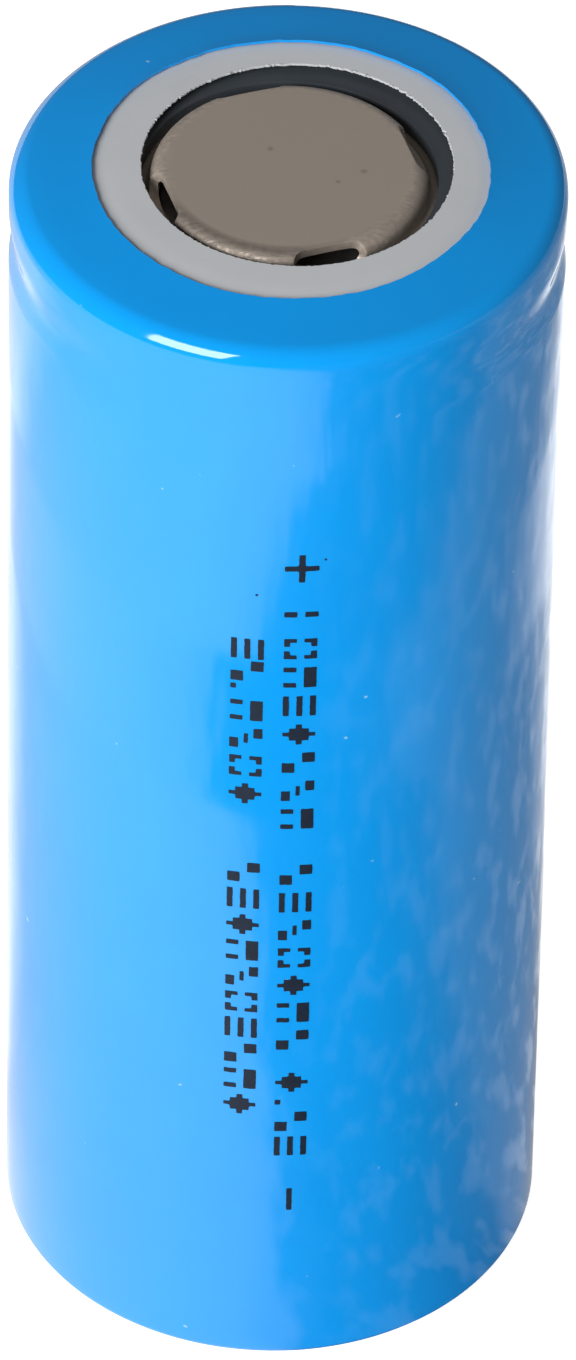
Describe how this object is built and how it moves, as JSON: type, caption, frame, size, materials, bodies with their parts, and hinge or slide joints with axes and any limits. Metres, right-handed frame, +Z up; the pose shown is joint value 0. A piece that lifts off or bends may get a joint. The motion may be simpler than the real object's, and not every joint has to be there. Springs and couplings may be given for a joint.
{
  "type": "cylindrical battery cell",
  "caption": "Round rechargeable cell in a glossy blue sleeve, with a flat steel positive cap on top, a white ring round it and a bare steel negative base.",
  "frame": {"origin": "centre of the bottom face of the sleeve, on the cell's axis", "axes": "+Z runs up the cell's axis to the positive cap; -Y is the printed side of the sleeve; +X is to the right of the print when it faces the viewer"},
  "size_m": [0.0262, 0.0262, 0.0653],
  "materials": {
    "blue_sleeve": "glossy blue PVC heat-shrink film",
    "white_fibre": "off-white fibre board ring, satin",
    "nickel_plated_steel": "bright nickel plating on drawn steel",
    "dull_nickel_cap": "matt brownish grey nickel plating",
    "black_polypropylene": "black moulded sealing plastic",
    "white_polypropylene": "natural white plastic sheet",
    "soft_aluminium": "soft bare aluminium",
    "polyimide_tape": "amber polyimide tape",
    "cathode_coat": "dark grey coating on aluminium foil",
    "anode_coat": "black graphite coating on copper foil",
    "separator_film": "thin white porous membrane",
    "green_tape": "green polyester tape"
  },
  "bodies": {
    "cell": {"shrink_sleeve": "blue_sleeve", "top_insulator_ring": "white_fibre", "can": "nickel_plated_steel", "header_gasket": "black_polypropylene", "top_cap": "dull_nickel_cap", "vent_disc": "soft_aluminium", "vent_insulator_ring": "white_polypropylene", "weld_plate": "soft_aluminium", "positive_tab": "soft_aluminium", "positive_tab_tape": "polyimide_tape", "top_insulating_plate": "white_polypropylene", "cathode_winding": "cathode_coat", "anode_winding": "anode_coat", "separator_inner": "separator_film", "separator_outer": "separator_film", "winding_tape": "green_tape", "negative_tab": "nickel_plated_steel", "negative_tab_tape": "polyimide_tape", "bottom_insulating_plate": "white_polypropylene"},
    "vent_middle": {"vent_disc_centre": "soft_aluminium"}
  },
  "joints": [
    {"name": "vent_snap", "type": "slide", "parent": "cell", "child": "vent_middle", "axis": [0, 0, 1], "range_m": [0, 0.0008]}
  ]
}
